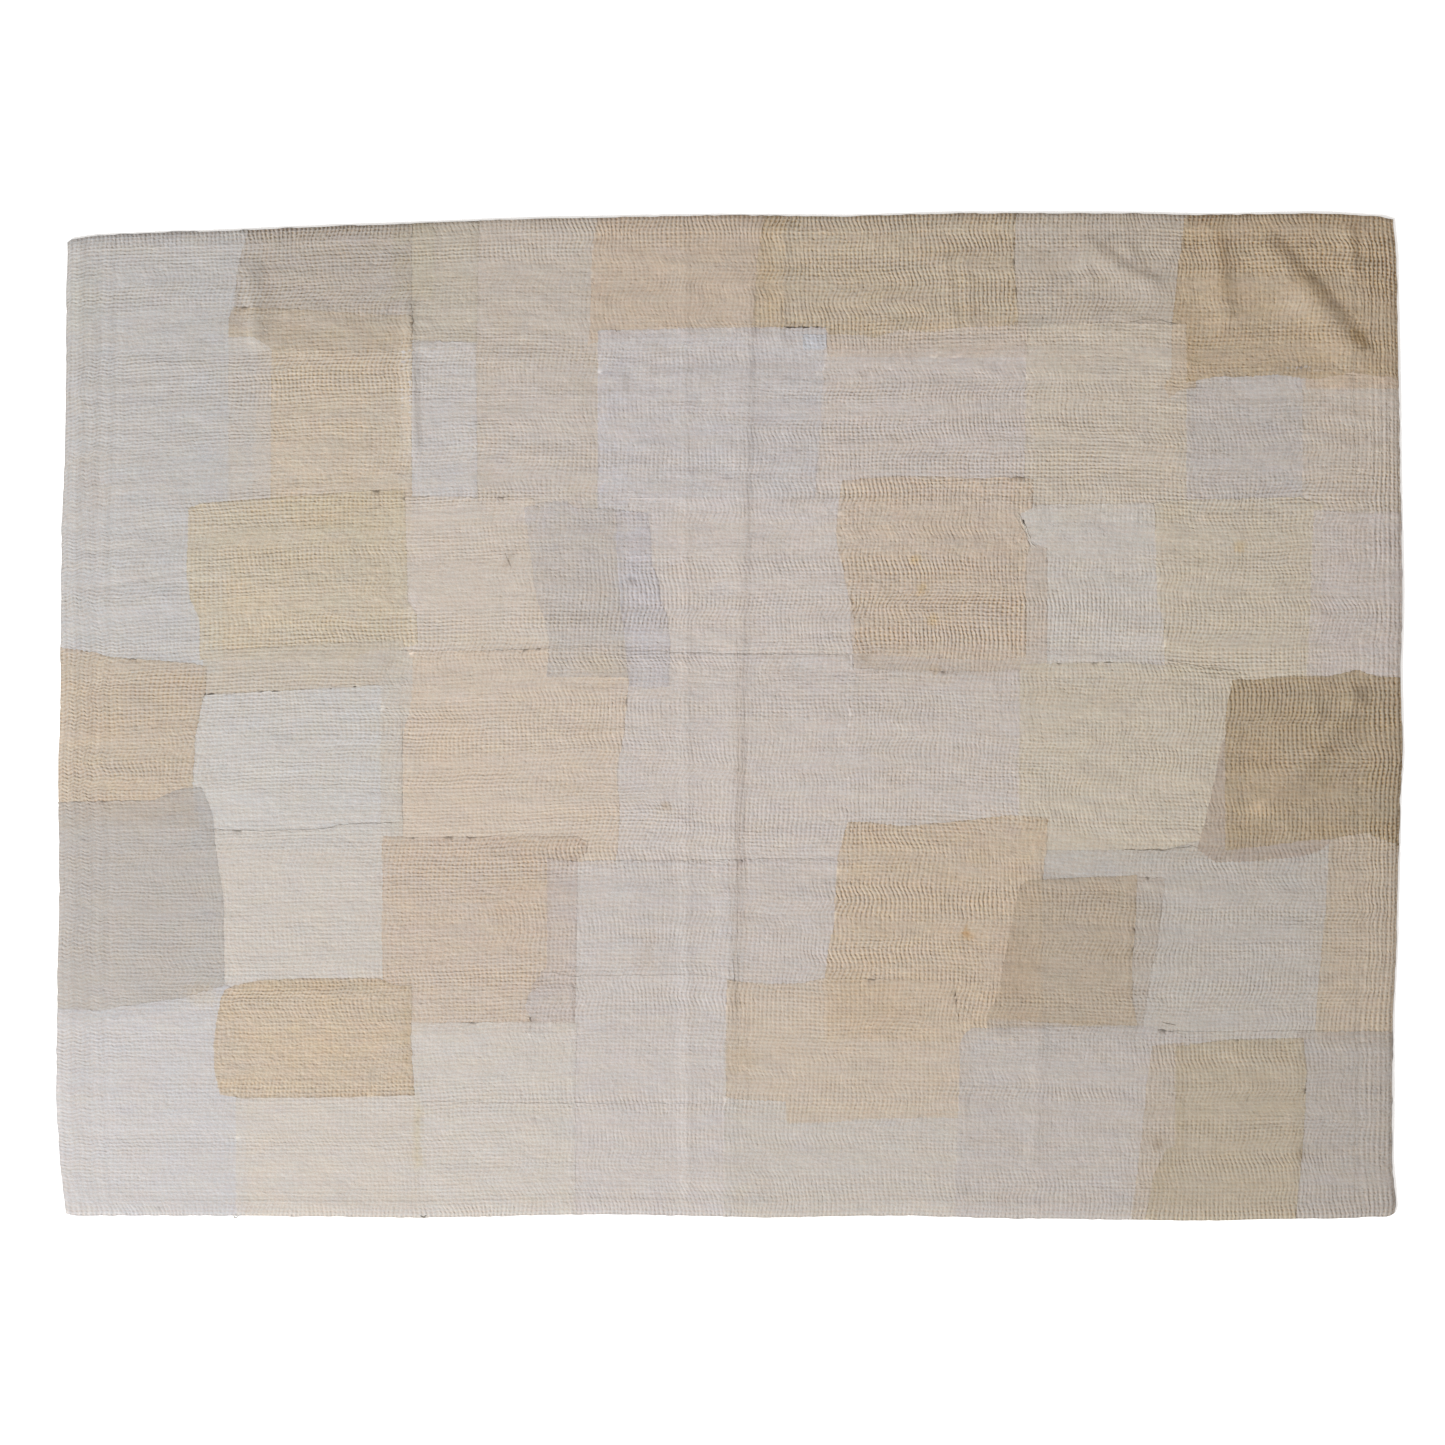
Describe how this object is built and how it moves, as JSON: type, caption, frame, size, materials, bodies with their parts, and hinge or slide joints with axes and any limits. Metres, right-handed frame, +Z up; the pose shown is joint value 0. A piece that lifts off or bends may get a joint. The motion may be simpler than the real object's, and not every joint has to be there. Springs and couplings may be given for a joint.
{
  "type": "kantha quilt",
  "caption": "Thin kantha quilt laid flat: patched old cotton held together by close rows of running stitch, with narrow turned hems and a few soft creases.",
  "frame": {"origin": "middle of the underside, on the surface that the quilt lies on", "axes": "+X along the long side, towards the picture's right; +Y along the short side, towards the picture's top; +Z up, out of the stitched face"},
  "size_m": [2.0029, 1.4989, 0.013],
  "materials": {
    "quilt": "matte, puckered old cotton"
  },
  "bodies": {
    "root": {"quilt": "quilt"}
  },
  "joints": []
}
